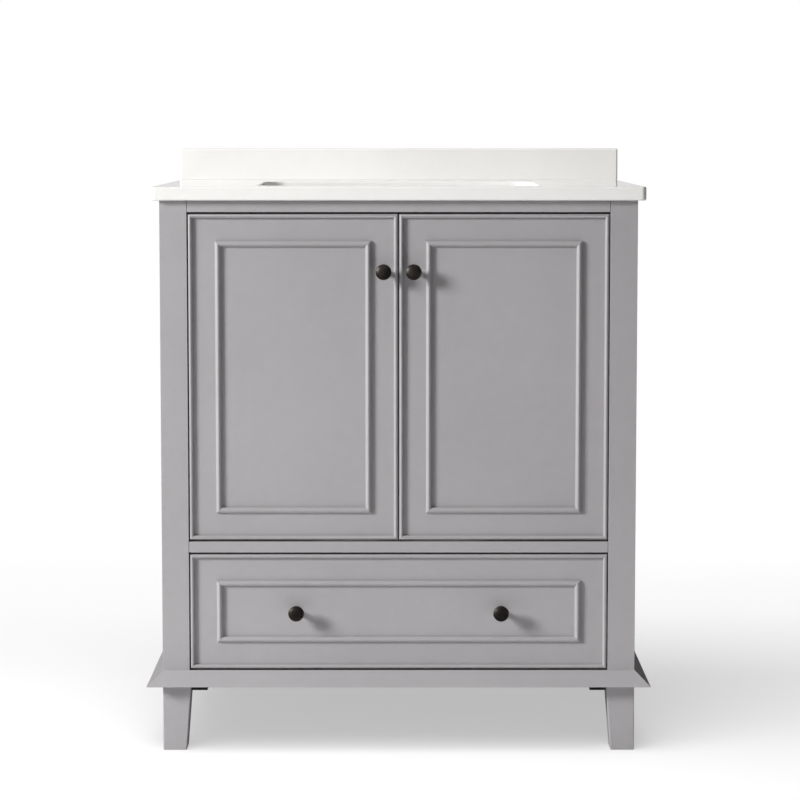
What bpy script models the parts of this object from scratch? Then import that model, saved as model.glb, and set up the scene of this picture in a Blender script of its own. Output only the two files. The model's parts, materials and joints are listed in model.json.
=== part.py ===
"""Bathroom vanity cabinet with a stone top, two inset doors and one drawer.

Metres, +Z up. The front faces -Y and +X is to the right of someone facing it. The origin is on
the floor, under the middle of the whole object's outline.
"""

import math

import bmesh
import bpy
from mathutils import Vector

# Casework
CABINET_WIDTH = 0.762
CABINET_DEPTH = 0.546
CABINET_TOP_Z = 0.889
LEG_HEIGHT = 0.108
PANEL = 0.016
BACK_PANEL = 0.009
FRAME_BOARD = 0.018
STILE_WIDTH = 0.043
TOP_RAIL_HEIGHT = 0.0185
MIDDLE_RAIL_HEIGHT = 0.018
BOTTOM_RAIL_HEIGHT = 0.0225
CLEAT_DEPTH = 0.060
STRETCHER_WIDTH = 0.050

# Plumbing cut-outs in the back panel, one each side of a centre strip
PLUMBING_WIDTH = 0.125
PLUMBING_HEIGHT = 0.220
PLUMBING_STRIP = 0.050
PLUMBING_ABOVE_SHELF = 0.080

# Skirt and legs
SKIRT_HEIGHT = 0.023
SKIRT_PROJECTION = 0.025
SKIRT_TOP_LEDGE = 0.003
SKIRT_NOSE = 0.003
LEG_TOP = 0.046
LEG_FOOT = 0.038
LEG_EASE = 0.0015
BLOCK_REACH = 0.026
BLOCK_HEIGHT = 0.0095

# Top
COUNTER_THICKNESS = 0.022
COUNTER_SIDE_OVERHANG = 0.0125
COUNTER_FRONT_OVERHANG = 0.013
COUNTER_CORNER = 0.008
BACKSPLASH_THICKNESS = 0.020
BACKSPLASH_HEIGHT = 0.056
BACKSPLASH_EASE = 0.003

# Sink and its cut-out
SINK_WIDTH = 0.465
SINK_LENGTH = 0.330
SINK_CORNER = 0.038
SINK_SETBACK = 0.068
SINK_DEPTH = 0.140
SINK_FLANGE = 0.018
SINK_WALL = 0.008
SINK_WALL_LEAN = 0.005
SINK_HEEL_RADIUS = 0.035
SINK_FLOOR_FALL = 0.006
DRAIN_RADIUS = 0.0225
DRAIN_SEAT = 0.012
FAUCET_HOLE_RADIUS = 0.0175
FAUCET_SPREAD = 0.1016
FAUCET_SETBACK = 0.059

# Doors and drawer front
DRAWER_FRONT_HEIGHT = 0.1865
FRONT_GAP = 0.002
FRONT_GAP_Z = 0.003
LEAF_THICKNESS = 0.022
BEAD_WIDTH = 0.0065
BEAD_HEIGHT = 0.006
MOULDING_INSET = 0.043
MOULDING_WIDTH = 0.009
MOULDING_HEIGHT = 0.006
ROUND_SHARE = 0.4

# Knobs
KNOB_RADIUS = 0.0127
KNOB_PROJECTION = 0.028
KNOB_HEAD = 0.007
KNOB_NECK_RADIUS = 0.0048
KNOB_FOOT_RADIUS = 0.0084
KNOB_FOOT = 0.0015
KNOB_FLARE = 0.0035
KNOB_CROWN = 0.0006
KNOB_EASE = 0.002
DOOR_KNOB_X = 0.024
DOOR_KNOB_DROP = 0.0915
DRAWER_KNOB_X = 0.1646

# Hinges: the pivot's place in the closed door's corner, and curved pieces turned about it
PIVOT_INSET = 0.010
PIVOT_DEPTH = 0.005
HINGE_FROM_END = 0.090
CUP_RADIUS = 0.0172
CUP_WALL = 0.0012
CUP_DEPTH = 0.0112
CUP_FLANGE_RADIUS = 0.020
CUP_FLANGE = 0.001
CUP_OFFSET = 0.0225
CUP_STEPS = 28
LINK_CLEARANCE = 0.0008
LINK_THICKNESS = 0.003
LINK_WIDTH = 0.010
LINK_TRAVEL_DEGREES = 84.0
LINK_LAP_DEGREES = 2.0
ARM_THICKNESS = 0.003
ARM_WIDTH = 0.014
ARM_BAR = 0.008
ARM_LENGTH = 0.046

# Drawer
DRAWER_SIDE = 0.012
DRAWER_BOTTOM = 0.006
DRAWER_BOX_HEIGHT = 0.135
DRAWER_BOX_LIFT = 0.0165
DRAWER_BOX_LENGTH = 0.450
DRAWER_BOTTOM_LIFT = 0.008
SLIDE_THICKNESS = 0.0127
SLIDE_HEIGHT = 0.045
SLIDE_SHEET = 0.0015
SLIDE_STEP = 0.0035
SLIDE_SETBACK = 0.002

# Fits
GAP = 0.0003
SLIDE_GAP = 0.0006
CUT = 0.002

# Places that follow from the sizes
FRONT_Y = -(CABINET_DEPTH - SKIRT_PROJECTION) / 2
BACK_Y = FRONT_Y + CABINET_DEPTH
HALF_WIDTH = CABINET_WIDTH / 2
SIDE_INNER_X = HALF_WIDTH - PANEL
STILE_INNER_X = HALF_WIDTH - STILE_WIDTH
DOOR_TOP_Z = CABINET_TOP_Z - TOP_RAIL_HEIGHT - FRONT_GAP_Z
DRAWER_BASE_Z = LEG_HEIGHT + BOTTOM_RAIL_HEIGHT + FRONT_GAP_Z
MIDDLE_RAIL_BASE_Z = DRAWER_BASE_Z + DRAWER_FRONT_HEIGHT + FRONT_GAP_Z
MIDDLE_RAIL_TOP_Z = MIDDLE_RAIL_BASE_Z + MIDDLE_RAIL_HEIGHT
DOOR_BASE_Z = MIDDLE_RAIL_TOP_Z + FRONT_GAP_Z
DOOR_HEIGHT = DOOR_TOP_Z - DOOR_BASE_Z
DOOR_WIDTH = STILE_INNER_X - 1.5 * FRONT_GAP
DRAWER_FRONT_WIDTH = 2 * (STILE_INNER_X - FRONT_GAP)
LEAF_BACK_Y = FRONT_Y + LEAF_THICKNESS
FIELD_Y = FRONT_Y + BEAD_HEIGHT
COUNTER_FRONT_Y = FRONT_Y - COUNTER_FRONT_OVERHANG
COUNTER_BASE_Z = CABINET_TOP_Z + GAP
COUNTER_TOP_Z = COUNTER_BASE_Z + COUNTER_THICKNESS
COUNTER_HALF_WIDTH = HALF_WIDTH + COUNTER_SIDE_OVERHANG
SINK_Y = COUNTER_FRONT_Y + SINK_SETBACK + SINK_LENGTH / 2
FAUCET_Y = BACK_Y - BACKSPLASH_THICKNESS - FAUCET_SETBACK
BOTTOM_TOP_Z = LEG_HEIGHT + PANEL
SHELF_BASE_Z = MIDDLE_RAIL_BASE_Z
PIVOT_Y = FRONT_Y + PIVOT_DEPTH
# Hinge radii from the pivot: the link clears the leaf's back corner, and the arm clears the link
LINK_INNER = math.hypot(PIVOT_INSET, LEAF_THICKNESS - PIVOT_DEPTH) + LINK_CLEARANCE
LINK_OUTER = LINK_INNER + LINK_THICKNESS
ARM_INNER = LINK_OUTER + SLIDE_GAP
ARM_OUTER = ARM_INNER + ARM_THICKNESS
CLEAT_X = -(PIVOT_INSET + FRONT_GAP)
SLIDE_Z = DRAWER_BASE_Z + DRAWER_BOX_LIFT + DRAWER_BOX_HEIGHT / 2
SLIDE_FRONT_Y = LEAF_BACK_Y + SLIDE_SETBACK

SIDES = (("left", -1), ("right", 1))


def clear_scene():
    for item in list(bpy.data.objects):
        bpy.data.objects.remove(item, do_unlink=True)


def new_collection(name):
    group = bpy.data.collections.new(name)
    bpy.context.scene.collection.children.link(group)
    return group


def new_material(name, color, roughness, metallic=0.0):
    material = bpy.data.materials.new(name)
    material.use_nodes = True
    shader = material.node_tree.nodes["Principled BSDF"]
    shader.inputs["Base Color"].default_value = (*color, 1.0)
    shader.inputs["Roughness"].default_value = roughness
    shader.inputs["Metallic"].default_value = metallic
    material.diffuse_color = (*color, 1.0)
    return material


clear_scene()
VANITY = new_collection("bathroom_vanity_cabinet")
CUTTERS = new_collection("cutters")
PAINT = new_material("grey_paint", (0.36, 0.36, 0.35), 0.45)
STONE = new_material("white_stone", (0.85, 0.84, 0.81), 0.2)
PORCELAIN = new_material("white_porcelain", (0.9, 0.9, 0.89), 0.1)
BRONZE = new_material("dark_knob_metal", (0.03, 0.028, 0.026), 0.35, 0.8)
STEEL = new_material("hinge_steel", (0.62, 0.62, 0.62), 0.3, 1.0)
ZINC = new_material("slide_steel", (0.5, 0.51, 0.52), 0.35, 1.0)
BIRCH = new_material("drawer_wood", (0.66, 0.52, 0.36), 0.5)
PLY = new_material("carcass_wood", (0.6, 0.5, 0.38), 0.6)
BLACK = new_material("black_plastic", (0.015, 0.015, 0.015), 0.5)


def add_object(name, data, material, place, parent=None, rotation=(0.0, 0.0, 0.0)):
    """An object at a world place, held by a parent that is itself not turned."""
    item = bpy.data.objects.new(name, data)
    data.materials.append(material)
    VANITY.objects.link(item)
    item.rotation_euler = rotation
    item.location = Vector(place)
    if parent:
        item.parent = parent
        item.location = Vector(place) - parent.location
    return item


def add_pivot(name, place):
    pivot = bpy.data.objects.new(name, None)
    pivot.location = place
    pivot.empty_display_size = 0.03
    VANITY.objects.link(pivot)
    return pivot


def cube_bmesh(size):
    mesh = bmesh.new()
    bmesh.ops.create_cube(mesh, size=1.0)
    bmesh.ops.scale(mesh, vec=size, verts=mesh.verts)
    return mesh


def mesh_from(bm, name):
    mesh = bpy.data.meshes.new(name)
    bm.to_mesh(mesh)
    bm.free()
    return mesh


def add_box(name, low, high, material, parent=None):
    """A board between two world corners, with its origin at its middle."""
    low, high = Vector(low), Vector(high)
    mesh = mesh_from(cube_bmesh(high - low), name)
    return add_object(name, mesh, material, (low + high) / 2, parent)


def add_bevel(item, width, segments=1, angle=30.0):
    bevel = item.modifiers.new("Bevel", "BEVEL")
    bevel.width = width
    bevel.segments = segments
    bevel.limit_method = "ANGLE"
    bevel.angle_limit = math.radians(angle)


def outline_curve(name, loops, thickness):
    """Flat loops in the curve's own XY plane, filled and given a thickness about that plane.

    A loop inside another one is a hole.
    """
    curve = bpy.data.curves.new(name, "CURVE")
    curve.dimensions = "2D"
    curve.fill_mode = "BOTH"
    curve.extrude = thickness / 2
    for loop in loops:
        spline = curve.splines.new("POLY")
        spline.points.add(len(loop) - 1)
        spline.use_cyclic_u = True
        for point, (x, y) in zip(spline.points, loop):
            point.co = (x, y, 0.0, 1.0)
    return curve


def rectangle(low_x, low_y, high_x, high_y):
    return [(low_x, low_y), (high_x, low_y), (high_x, high_y), (low_x, high_y)]


def arc(center, radius, start, end, steps):
    """Points on a circle from one angle to another, in degrees."""
    points = []
    for step in range(steps + 1):
        angle = math.radians(start + (end - start) * step / steps)
        points.append((center[0] + radius * math.cos(angle), center[1] + radius * math.sin(angle)))
    return points


def circle(center, radius, steps):
    return arc(center, radius, 0.0, 360.0, steps)[:-1]


def rounded_rectangle(center, width, length, radius, steps):
    x, y = width / 2 - radius, length / 2 - radius
    corners = ((x, y, 0.0), (-x, y, 90.0), (-x, -y, 180.0), (x, -y, 270.0))
    points = []
    for corner_x, corner_y, start in corners:
        middle = (center[0] + corner_x, center[1] + corner_y)
        points += arc(middle, radius, start, start + 90.0, steps)
    return points


def add_turned(name, profile, material, place, parent, rotation, steps):
    """A profile of (radius, height) points turned about the object's own Z axis."""
    mesh = bpy.data.meshes.new(name)
    points = [(radius, 0.0, height) for radius, height in profile]
    edges = [(first, first + 1) for first in range(len(points) - 1)]
    mesh.from_pydata(points, edges, [])
    item = add_object(name, mesh, material, place, parent, rotation)
    screw = item.modifiers.new("Screw", "SCREW")
    screw.axis = "Z"
    screw.steps = steps
    screw.render_steps = steps
    screw.use_merge_vertices = True
    screw.merge_threshold = 0.00001
    screw.use_smooth_shade = True
    return item


def add_carcass():
    for side, sign in SIDES:
        x = sorted((sign * SIDE_INNER_X, sign * HALF_WIDTH))
        low = (x[0], FRONT_Y + FRAME_BOARD + GAP, LEG_HEIGHT + GAP)
        add_box(f"{side}_side_panel", low, (x[1], BACK_Y, CABINET_TOP_Z), PAINT)
    inner_x = SIDE_INNER_X - GAP
    front = FRONT_Y + FRAME_BOARD + GAP
    back = BACK_Y - BACK_PANEL - GAP
    low = (-inner_x, front, LEG_HEIGHT + GAP)
    add_box("bottom_panel", low, (inner_x, back, BOTTOM_TOP_Z), PAINT)
    back_low = BACK_Y - BACK_PANEL - STRETCHER_WIDTH - GAP
    low = (-inner_x, back_low, CABINET_TOP_Z - PANEL)
    add_box("rear_stretcher", low, (inner_x, back, CABINET_TOP_Z), PLY)
    add_back_panel(inner_x)
    add_shelf(inner_x, front, back)


def add_back_panel(half_width):
    """A standing sheet, drawn flat in width and height, with the plumbing cut-outs as its holes."""
    loops = [rectangle(-half_width, LEG_HEIGHT + GAP, half_width, CABINET_TOP_Z)]
    base = SHELF_BASE_Z + PANEL + PLUMBING_ABOVE_SHELF
    near = PLUMBING_STRIP / 2
    far = near + PLUMBING_WIDTH
    for low_x, high_x in ((-far, -near), (near, far)):
        loops.append(rectangle(low_x, base, high_x, base + PLUMBING_HEIGHT))
    curve = outline_curve("back_panel", loops, BACK_PANEL)
    place = (0.0, BACK_Y - BACK_PANEL / 2, 0.0)
    add_object("back_panel", curve, PLY, place, rotation=(math.pi / 2, 0.0, 0.0))


def add_shelf(half_width, front, back):
    """The board over the drawer space, notched round the two front cleats."""
    notch_x = STILE_INNER_X - GAP
    notch_y = front + CLEAT_DEPTH + GAP
    outline = [
        (-notch_x, front), (notch_x, front), (notch_x, notch_y), (half_width, notch_y),
        (half_width, back), (-half_width, back), (-half_width, notch_y), (-notch_x, notch_y),
    ]
    curve = outline_curve("shelf_panel", [outline], PANEL)
    add_object("shelf_panel", curve, PLY, (0.0, 0.0, SHELF_BASE_Z + PANEL / 2))


def add_face_frame():
    frame_back = FRONT_Y + FRAME_BOARD
    for side, sign in SIDES:
        x = sorted((sign * STILE_INNER_X, sign * HALF_WIDTH))
        low = (x[0], FRONT_Y, LEG_HEIGHT + GAP)
        add_box(f"{side}_stile", low, (x[1], frame_back, CABINET_TOP_Z), PAINT)
        x = sorted((sign * STILE_INNER_X, sign * (SIDE_INNER_X - GAP)))
        low = (x[0], frame_back + GAP, BOTTOM_TOP_Z + GAP)
        high = (x[1], frame_back + GAP + CLEAT_DEPTH, CABINET_TOP_Z)
        add_box(f"{side}_hinge_cleat", low, high, PLY)
    rails = (
        ("top_rail", CABINET_TOP_Z - TOP_RAIL_HEIGHT, CABINET_TOP_Z),
        ("middle_rail", MIDDLE_RAIL_BASE_Z, MIDDLE_RAIL_TOP_Z),
        ("bottom_rail", LEG_HEIGHT + GAP, LEG_HEIGHT + BOTTOM_RAIL_HEIGHT),
    )
    rail_x = STILE_INNER_X - GAP
    for name, base, top in rails:
        add_box(name, (-rail_x, FRONT_Y, base), (rail_x, frame_back, top), PAINT)


def skirt_bar(name, length, mitred_ends):
    """The flared moulding, its back at Y = 0 and its run along X, with the named ends mitred."""
    profile = [
        (-GAP, 0.0), (-SKIRT_PROJECTION, 0.0), (-SKIRT_PROJECTION, SKIRT_NOSE),
        (-SKIRT_TOP_LEDGE, SKIRT_HEIGHT), (-GAP, SKIRT_HEIGHT),
    ]
    bm = bmesh.new()
    corners = [bm.verts.new((-length / 2, y, z)) for y, z in profile]
    end = bm.faces.new(corners)
    grown = bmesh.ops.extrude_face_region(bm, geom=[end])["geom"]
    moved = [part for part in grown if isinstance(part, bmesh.types.BMVert)]
    bmesh.ops.translate(bm, vec=(length, 0.0, 0.0), verts=moved)
    for vert in bm.verts:
        sign = 1 if vert.co.x > 0 else -1
        if sign in mitred_ends:
            vert.co.x -= sign * (vert.co.y + GAP)
    bmesh.ops.recalc_face_normals(bm, faces=bm.faces)
    return mesh_from(bm, name)


def add_skirt():
    base = LEG_HEIGHT + GAP
    mesh = skirt_bar("front_skirt", CABINET_WIDTH, (-1, 1))
    add_object("front_skirt", mesh, PAINT, (0.0, FRONT_Y, base))
    for side, sign in SIDES:
        mesh = skirt_bar(f"{side}_skirt", CABINET_DEPTH - GAP, (-sign,))
        place = (sign * HALF_WIDTH, FRONT_Y + (CABINET_DEPTH + GAP) / 2, base)
        turn = (0.0, 0.0, sign * math.pi / 2)
        add_object(f"{side}_skirt", mesh, PAINT, place, rotation=turn)


def add_legs():
    """Legs tapered on their two inner faces, each with a mounting block round its inner corner."""
    shrink = LEG_TOP - LEG_FOOT
    for side, sign in SIDES:
        for end, forward in (("front", -1), ("rear", 1)):
            bm = cube_bmesh((LEG_TOP, LEG_TOP, LEG_HEIGHT))
            for vert in bm.verts:
                if vert.co.z < 0 and vert.co.x * sign < 0:
                    vert.co.x += sign * shrink
                if vert.co.z < 0 and vert.co.y * forward < 0:
                    vert.co.y += forward * shrink
            outer_x = sign * HALF_WIDTH
            outer_y = FRONT_Y if forward < 0 else BACK_Y
            place = (outer_x - sign * LEG_TOP / 2, outer_y - forward * LEG_TOP / 2, LEG_HEIGHT / 2)
            leg = add_object(f"{end}_{side}_leg", mesh_from(bm, "leg"), PAINT, place)
            add_bevel(leg, LEG_EASE)
            add_leg_block(f"{end}_{side}_leg_block", outer_x, outer_y, sign, forward)


def add_leg_block(name, outer_x, outer_y, sign, forward):
    near, far = LEG_TOP + GAP, LEG_TOP + BLOCK_REACH
    corners = [(near, 0.0), (far, 0.0), (far, far), (0.0, far), (0.0, near), (near, near)]
    outline = [(outer_x - sign * x, outer_y - forward * y) for x, y in corners]
    curve = outline_curve(name, [outline], BLOCK_HEIGHT)
    add_object(name, curve, BLACK, (0.0, 0.0, LEG_HEIGHT - BLOCK_HEIGHT / 2))


def add_top():
    """The stone top with its sink and faucet holes, and the backsplash standing on it."""
    outer = rounded_rectangle(
        (0.0, (COUNTER_FRONT_Y + BACK_Y) / 2),
        2 * COUNTER_HALF_WIDTH, BACK_Y - COUNTER_FRONT_Y, COUNTER_CORNER, 4,
    )
    loops = [outer, rounded_rectangle((0.0, SINK_Y), SINK_WIDTH, SINK_LENGTH, SINK_CORNER, 6)]
    for step in (-1, 0, 1):
        loops.append(circle((step * FAUCET_SPREAD, FAUCET_Y), FAUCET_HOLE_RADIUS, 16))
    curve = outline_curve("countertop", loops, COUNTER_THICKNESS)
    add_object("countertop", curve, STONE, (0.0, 0.0, COUNTER_BASE_Z + COUNTER_THICKNESS / 2))
    base = COUNTER_TOP_Z + GAP
    low = (-COUNTER_HALF_WIDTH, BACK_Y - BACKSPLASH_THICKNESS, base)
    high = (COUNTER_HALF_WIDTH, BACK_Y, base + BACKSPLASH_HEIGHT)
    add_bevel(add_box("backsplash", low, high, STONE), BACKSPLASH_EASE)


def sink_rings():
    """The bowl's inside as rings of (width, length, corner radius, height), top to bottom."""
    flange = 2 * SINK_FLANGE
    narrow, short = SINK_WIDTH - 2 * SINK_WALL_LEAN, SINK_LENGTH - 2 * SINK_WALL_LEAN
    wall_height = SINK_DEPTH - SINK_HEEL_RADIUS
    rings = [
        (SINK_WIDTH + flange, SINK_LENGTH + flange, SINK_CORNER + SINK_FLANGE, 0.0),
        (SINK_WIDTH, SINK_LENGTH, SINK_CORNER, 0.0),
        (narrow, short, SINK_CORNER, -wall_height),
    ]
    for angle in (30.0, 60.0, 90.0):
        inward = SINK_HEEL_RADIUS * (1 - math.cos(math.radians(angle)))
        drop = SINK_HEEL_RADIUS * math.sin(math.radians(angle))
        corner = SINK_CORNER - inward / 2
        rings.append((narrow - 2 * inward, short - 2 * inward, corner, -wall_height - drop))
    floor = -SINK_DEPTH - SINK_FLOOR_FALL
    for radius in (DRAIN_RADIUS + DRAIN_SEAT, DRAIN_RADIUS):
        rings.append((2 * radius, 2 * radius, radius, floor))
    return rings


def add_sink():
    """A ceramic shell: rings joined from the flange down to the drain hole, then thickened."""
    bm = bmesh.new()
    loops = []
    for width, length, radius, height in sink_rings():
        points = rounded_rectangle((0.0, 0.0), width, length, radius, 6)
        loops.append([bm.verts.new((x, y, height)) for x, y in points])
    for upper, lower in zip(loops, loops[1:]):
        for index in range(len(upper)):
            after = (index + 1) % len(upper)
            bm.faces.new((upper[index], lower[index], lower[after], upper[after]))
    bmesh.ops.recalc_face_normals(bm, faces=bm.faces)
    if sum(face.normal.z for face in bm.faces) < 0:
        bmesh.ops.reverse_faces(bm, faces=bm.faces)
    place = (0.0, SINK_Y, COUNTER_BASE_Z - GAP)
    sink = add_object("sink_bowl", mesh_from(bm, "sink_bowl"), PORCELAIN, place)
    shell = sink.modifiers.new("Solidify", "SOLIDIFY")
    shell.thickness = SINK_WALL
    shell.offset = -1.0


def leaf_mesh(name, width, height):
    """A slab whose front face (-Y) is sunk inside a rounded bead that runs round its edge."""
    bm = cube_bmesh((width, LEAF_THICKNESS, height))
    front = min(bm.faces, key=lambda face: face.calc_center_median().y)
    bmesh.ops.inset_region(bm, faces=[front], thickness=BEAD_WIDTH)
    crest = [
        edge for edge in bm.edges
        if all(vert.co.y < 0 for vert in edge.verts) and not is_diagonal(edge)
    ]
    field = bmesh.ops.extrude_discrete_faces(bm, faces=[front])["faces"][0]
    bmesh.ops.translate(bm, vec=(0.0, BEAD_HEIGHT, 0.0), verts=field.verts)
    round_over(bm, crest, BEAD_WIDTH)
    return mesh_from(bm, name)


def is_diagonal(edge):
    """True for the short edges that join the corners of one rectangle to the next."""
    across = edge.verts[0].co - edge.verts[1].co
    return abs(across.x) > GAP and abs(across.z) > GAP


def round_over(bm, edges, width):
    """Rounds both shoulders of a strip of this width, leaving a narrow flat between them."""
    bmesh.ops.bevel(
        bm, geom=edges, offset=width * ROUND_SHARE, segments=3, profile=0.5, affect="EDGES",
    )


def moulding_mesh(name, width, height):
    """A flat frame standing on the leaf's field, with rounded shoulders and square corners."""
    bm = cube_bmesh((width, MOULDING_HEIGHT, height))
    inner = []
    for sign in (-1, 1):
        face = max(bm.faces, key=lambda item: sign * item.calc_center_median().y)
        bmesh.ops.inset_region(bm, faces=[face], thickness=MOULDING_WIDTH)
        inner.append(face)
    edges = [edge for face in inner for edge in face.edges]
    bmesh.ops.delete(bm, geom=inner, context="FACES_ONLY")
    bmesh.ops.bridge_loops(bm, edges=edges)
    bmesh.ops.recalc_face_normals(bm, faces=bm.faces)
    crest = [
        edge for edge in bm.edges
        if all(vert.co.y < 0 for vert in edge.verts) and not is_diagonal(edge)
    ]
    round_over(bm, crest, MOULDING_WIDTH)
    return mesh_from(bm, name)


def cut_cylinder(item, place, radius, depth):
    """A blind round hole in the item's back face, which points to +Y."""
    bm = bmesh.new()
    bmesh.ops.create_cone(
        bm, cap_ends=True, segments=CUP_STEPS, radius1=radius, radius2=radius, depth=depth + CUT,
    )
    cutter = bpy.data.objects.new(f"{item.name}_cup_hole", mesh_from(bm, "cup_hole"))
    CUTTERS.objects.link(cutter)
    cutter.rotation_euler = (math.pi / 2, 0.0, 0.0)
    cutter.location = Vector(place) + Vector((0.0, (CUT - depth) / 2, 0.0))
    cutter.display_type = "WIRE"
    cutter.hide_render = True
    boolean = item.modifiers.new("Cup hole", "BOOLEAN")
    boolean.operation = "DIFFERENCE"
    boolean.solver = "EXACT"
    boolean.object = cutter


def add_front(prefix, center_x, base_z, width, height, parent):
    """A leaf with its bead and its moulding frame."""
    center = (center_x, FRONT_Y + LEAF_THICKNESS / 2, base_z + height / 2)
    leaf = add_object(f"{prefix}_panel", leaf_mesh(prefix, width, height), PAINT, center, parent)
    frame_width, frame_height = width - 2 * MOULDING_INSET, height - 2 * MOULDING_INSET
    place = (center_x, FIELD_Y - GAP - MOULDING_HEIGHT / 2, center[2])
    mesh = moulding_mesh(prefix, frame_width, frame_height)
    add_object(f"{prefix}_moulding", mesh, PAINT, place, parent)
    return leaf


def knob_profile():
    """From the crown of the head down its rim, in to the neck and out to the foot."""
    head_back = KNOB_PROJECTION - KNOB_HEAD
    rim = KNOB_RADIUS - KNOB_EASE
    return [
        (0.0, KNOB_PROJECTION),
        (rim, KNOB_PROJECTION - KNOB_CROWN),
        (KNOB_RADIUS, KNOB_PROJECTION - KNOB_CROWN - KNOB_EASE),
        (KNOB_RADIUS, head_back + KNOB_EASE),
        (rim, head_back),
        (KNOB_NECK_RADIUS, head_back - KNOB_FLARE),
        (KNOB_NECK_RADIUS, KNOB_FOOT + KNOB_FLARE),
        (KNOB_FOOT_RADIUS, KNOB_FOOT),
        (KNOB_FOOT_RADIUS, GAP),
        (0.0, GAP),
    ]


def add_knob(name, x, z, parent):
    forward = (math.pi / 2, 0.0, 0.0)
    add_turned(name, knob_profile(), BRONZE, (x, FIELD_Y, z), parent, forward, 20)


def cup_profile():
    """The steel cup in the back of a door: inside floor, inside wall, flange, outside wall, base."""
    inner = CUP_RADIUS - CUP_WALL
    flange_top = GAP + CUP_FLANGE
    return [
        (0.0, CUP_WALL - CUP_DEPTH), (inner, CUP_WALL - CUP_DEPTH), (inner, flange_top),
        (CUP_FLANGE_RADIUS, flange_top), (CUP_FLANGE_RADIUS, GAP), (CUP_RADIUS, GAP),
        (CUP_RADIUS, -CUP_DEPTH), (0.0, -CUP_DEPTH),
    ]


def hinge_outline(points, pivot_x, inward):
    """Points given from the pivot, with X towards the free edge of the closed door."""
    return [(pivot_x + inward * x, PIVOT_Y + y) for x, y in points]


def link_angles():
    """From just over the cup's floor round to just short of the cleat's face."""
    cup_floor_y = LEAF_THICKNESS - PIVOT_DEPTH - CUP_DEPTH + CUP_WALL
    start = math.asin((cup_floor_y + LINK_CLEARANCE) / LINK_INNER)
    end = math.acos((CLEAT_X + LINK_CLEARANCE) / LINK_OUTER)
    return math.degrees(start), math.degrees(end)


def arm_angles():
    """From a small lap over the fully turned link, inside the cup, round to the bar."""
    lap = link_angles()[1] - LINK_TRAVEL_DEGREES - LINK_LAP_DEGREES
    cup_reach = math.sqrt((CUP_RADIUS - CUP_WALL) ** 2 - (ARM_WIDTH / 2) ** 2)
    cup_wall_x = CUP_OFFSET - PIVOT_INSET + cup_reach - LINK_CLEARANCE
    in_cup = math.degrees(math.acos(min(1.0, cup_wall_x / ARM_OUTER)))
    end = math.degrees(math.acos((CLEAT_X + GAP + ARM_BAR) / ARM_OUTER))
    return max(lap, in_cup), end


def arm_points():
    """The curved nose over the link, run into the straight bar on the cleat."""
    bar_low = CLEAT_X + GAP
    bar_high = bar_low + ARM_BAR
    start, end = arm_angles()
    nose_out = arc((0.0, 0.0), ARM_OUTER, start, end, 8)
    nose_in = arc((0.0, 0.0), ARM_INNER, end, start, 8)
    bar_end = nose_out[-1][1] + ARM_LENGTH
    bar = [(bar_high, bar_end), (bar_low, bar_end), (bar_low, nose_in[0][1])]
    return nose_out + bar + nose_in


def link_points():
    start, end = link_angles()
    return arc((0.0, 0.0), LINK_OUTER, start, end, 10) + arc((0.0, 0.0), LINK_INNER, end, start, 10)


def add_hinges(side, inward, pivot_x, leaf, door, links):
    """Two concealed hinges: an arm on the cleat, a curved link, and a cup sunk in the door."""
    heights = (("upper", DOOR_TOP_Z - HINGE_FROM_END), ("lower", DOOR_BASE_Z + HINGE_FROM_END))
    for level, z in heights:
        arm = outline_curve("arm", [hinge_outline(arm_points(), pivot_x, inward)], ARM_WIDTH)
        add_object(f"{side}_{level}_hinge_arm", arm, STEEL, (0.0, 0.0, z))
        link_loop = hinge_outline(link_points(), 0.0, inward)
        link_loop = [(x, y - PIVOT_Y) for x, y in link_loop]
        link = outline_curve("link", [link_loop], LINK_WIDTH)
        place = (pivot_x, PIVOT_Y, z)
        add_object(f"{side}_{level}_hinge_link", link, STEEL, place, links)
        cup_x = pivot_x + inward * (CUP_OFFSET - PIVOT_INSET)
        backward = (-math.pi / 2, 0.0, 0.0)
        cup_place = (cup_x, LEAF_BACK_Y, z)
        name = f"{side}_{level}_hinge_cup"
        add_turned(name, cup_profile(), STEEL, cup_place, door, backward, 24)
        cut_cylinder(leaf, cup_place, CUP_RADIUS + GAP, CUP_DEPTH + GAP)


def add_doors():
    for side, sign in SIDES:
        inward = -sign
        outer_x = sign * (STILE_INNER_X - FRONT_GAP)
        pivot_x = outer_x + inward * PIVOT_INSET
        pivot_place = (pivot_x, PIVOT_Y, DOOR_BASE_Z)
        door = add_pivot(f"{side}_door_axis", pivot_place)
        links = add_pivot(f"{side}_link_axis", pivot_place)
        center_x = outer_x + inward * DOOR_WIDTH / 2
        leaf = add_front(f"{side}_door", center_x, DOOR_BASE_Z, DOOR_WIDTH, DOOR_HEIGHT, door)
        add_knob(f"{side}_door_knob", sign * DOOR_KNOB_X, DOOR_TOP_Z - DOOR_KNOB_DROP, door)
        add_hinges(side, inward, pivot_x, leaf, door, links)


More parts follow.
